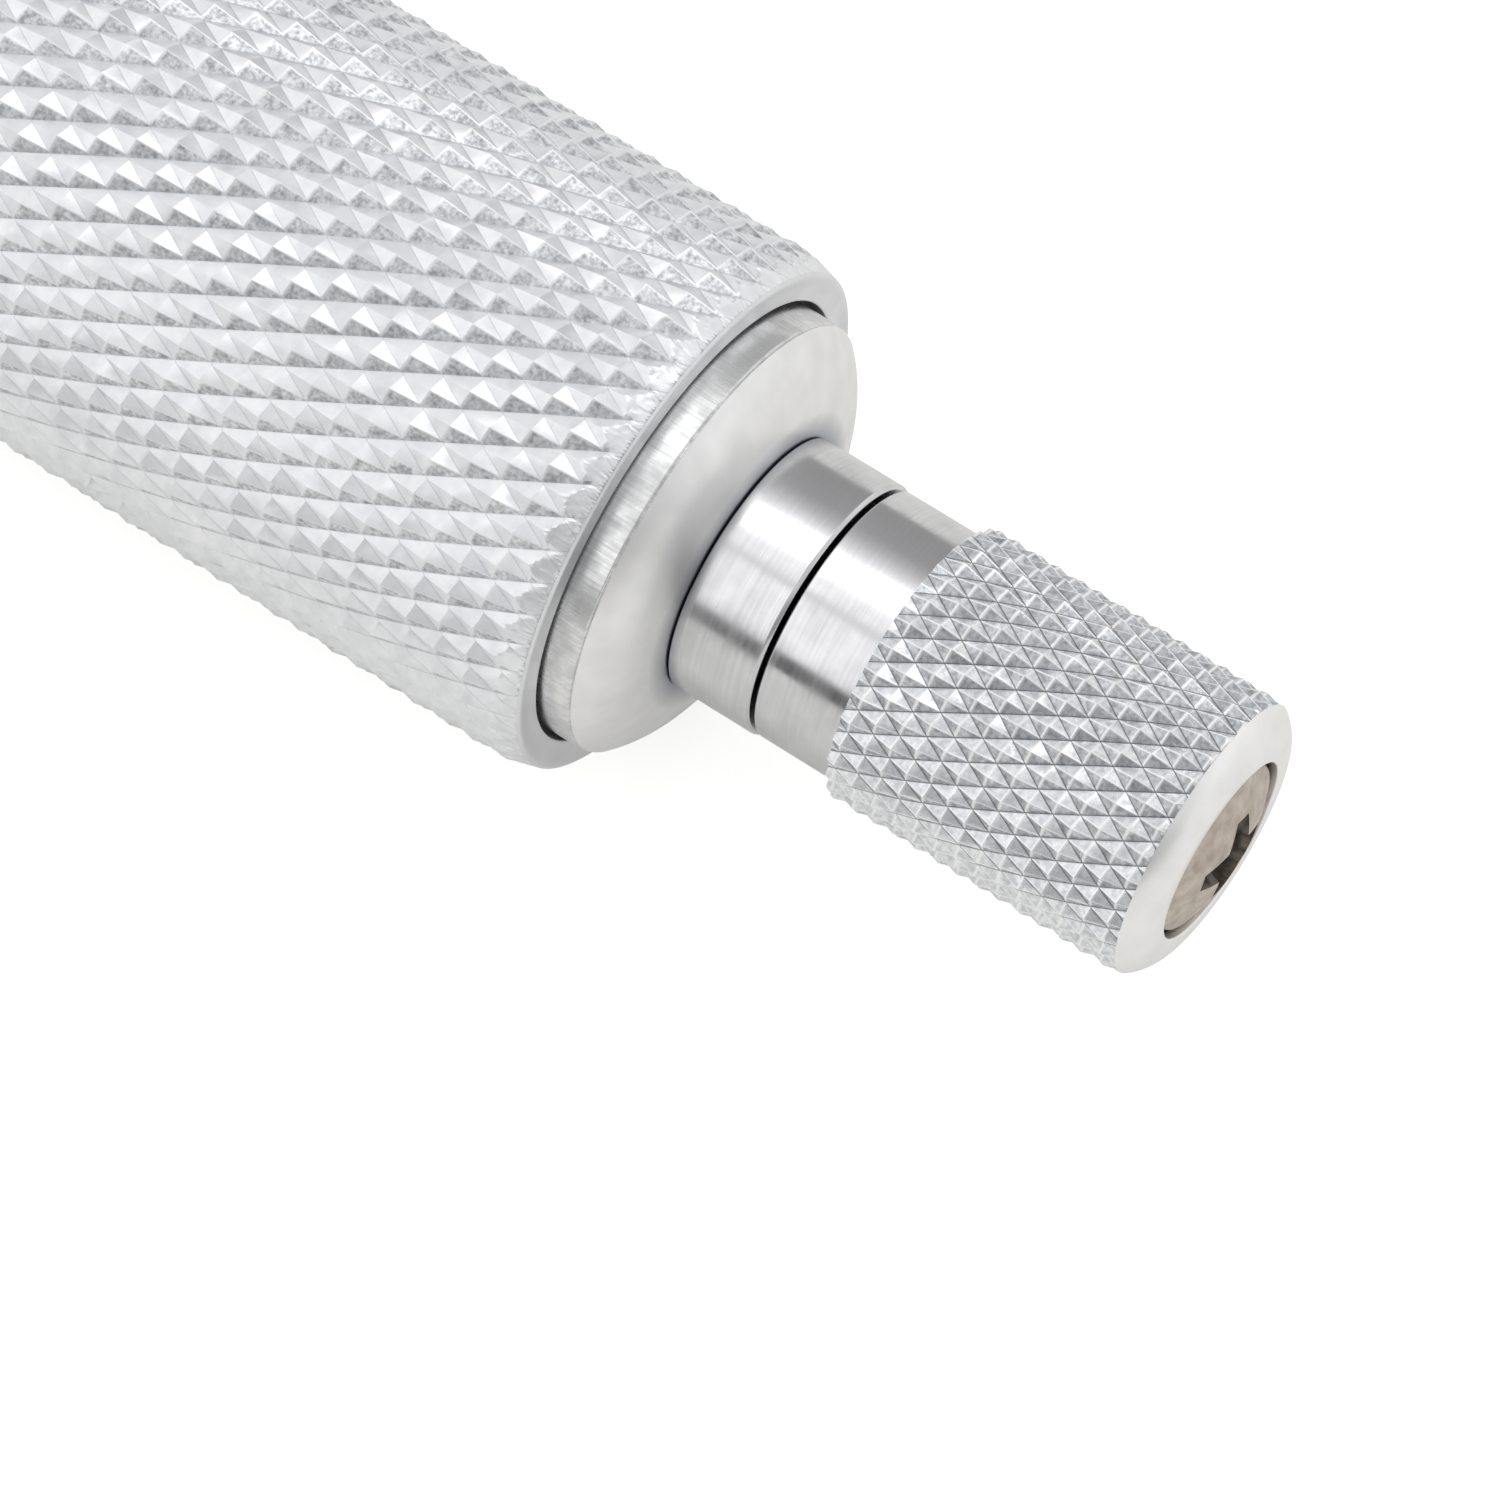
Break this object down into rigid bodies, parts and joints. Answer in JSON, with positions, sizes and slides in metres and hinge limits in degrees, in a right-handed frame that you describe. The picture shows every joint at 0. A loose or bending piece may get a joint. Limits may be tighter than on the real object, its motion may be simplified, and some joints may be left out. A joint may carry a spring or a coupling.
{
  "type": "outside micrometer",
  "caption": "Outside micrometer with a C frame, a graduated sleeve, a crossed-knurled thimble, a spindle lock and a knurled ratchet stop.",
  "frame": {"origin": "centre of the anvil's measuring face", "axes": "+X along the measuring axis from the anvil to the ratchet, +Y away from the frame's bow, +Z out of the frame's flat side that carries the lock lever"},
  "size_m": [0.1406, 0.048, 0.0195],
  "materials": {
    "frame_enamel": "fine grey stoving enamel, half matt",
    "satin_chrome": "satin chrome plate",
    "ground_steel": "ground and polished",
    "carbide": "lapped carbide",
    "grip_plastic": "fine matt",
    "turned_aluminium": "turned, fine brushed",
    "nickel_plate": "satin nickel plate",
    "brass": "turned"
  },
  "bodies": {
    "frame_body": {"frame": "frame_enamel", "anvil": "ground_steel", "anvil_tip": "carbide", "front_grip_plate": "grip_plastic", "rear_grip_plate": "grip_plastic", "plate_screw_1": "ground_steel", "plate_screw_2": "ground_steel", "plate_screw_3": "ground_steel", "plate_screw_4": "ground_steel", "inner_sleeve": "ground_steel", "adjusting_nut": "brass", "outer_sleeve": "satin_chrome", "lock_shoe": "brass"},
    "lock_body": {"lock_lever": "satin_chrome", "lock_stud": "ground_steel"},
    "spindle_front": {"spindle_tip": "carbide"},
    "thimble_body": {"spindle": "ground_steel", "thimble": "satin_chrome", "thimble_hub": "turned_aluminium", "ratchet_base": "turned_aluminium", "end_screw": "nickel_plate"},
    "knob_body": {"ratchet_knob": "turned_aluminium", "ratchet_spring": "ground_steel"},
    "click_body": {"click_ring": "ground_steel"}
  },
  "joints": [
    {"name": "spindle_travel", "type": "slide", "parent": "frame_body", "child": "spindle_front", "axis": [1, 0, 0], "range_m": [-0.00999, 0.015]},
    {"name": "thimble_turn", "type": "hinge", "parent": "spindle_front", "child": "thimble_body", "pos_m": [0.011, 0, 0], "axis": [1, 0, 0], "range_deg": [-7195, 10801]},
    {"name": "ratchet_turn", "type": "hinge", "parent": "thimble_body", "child": "knob_body", "pos_m": [0.1112, 0, 0], "axis": [1, 0, 0], "continuous": true},
    {"name": "click_lift", "type": "slide", "parent": "knob_body", "child": "click_body", "axis": [1, 0, 0], "range_m": [0, 0.0004], "stiffness_N_per_m": 2000, "springref_m": -0.0005, "deforming": ["ratchet_spring"]},
    {"name": "lock_turn", "type": "hinge", "parent": "frame_body", "child": "lock_body", "pos_m": [0.0337, 0, 0.008], "axis": [0, 0, 1], "range_deg": [0, 60]}
  ],
  "couplings": [
    {"joint": "thimble_turn", "follows": "spindle_travel", "rad_per_m": 12566}
  ]
}
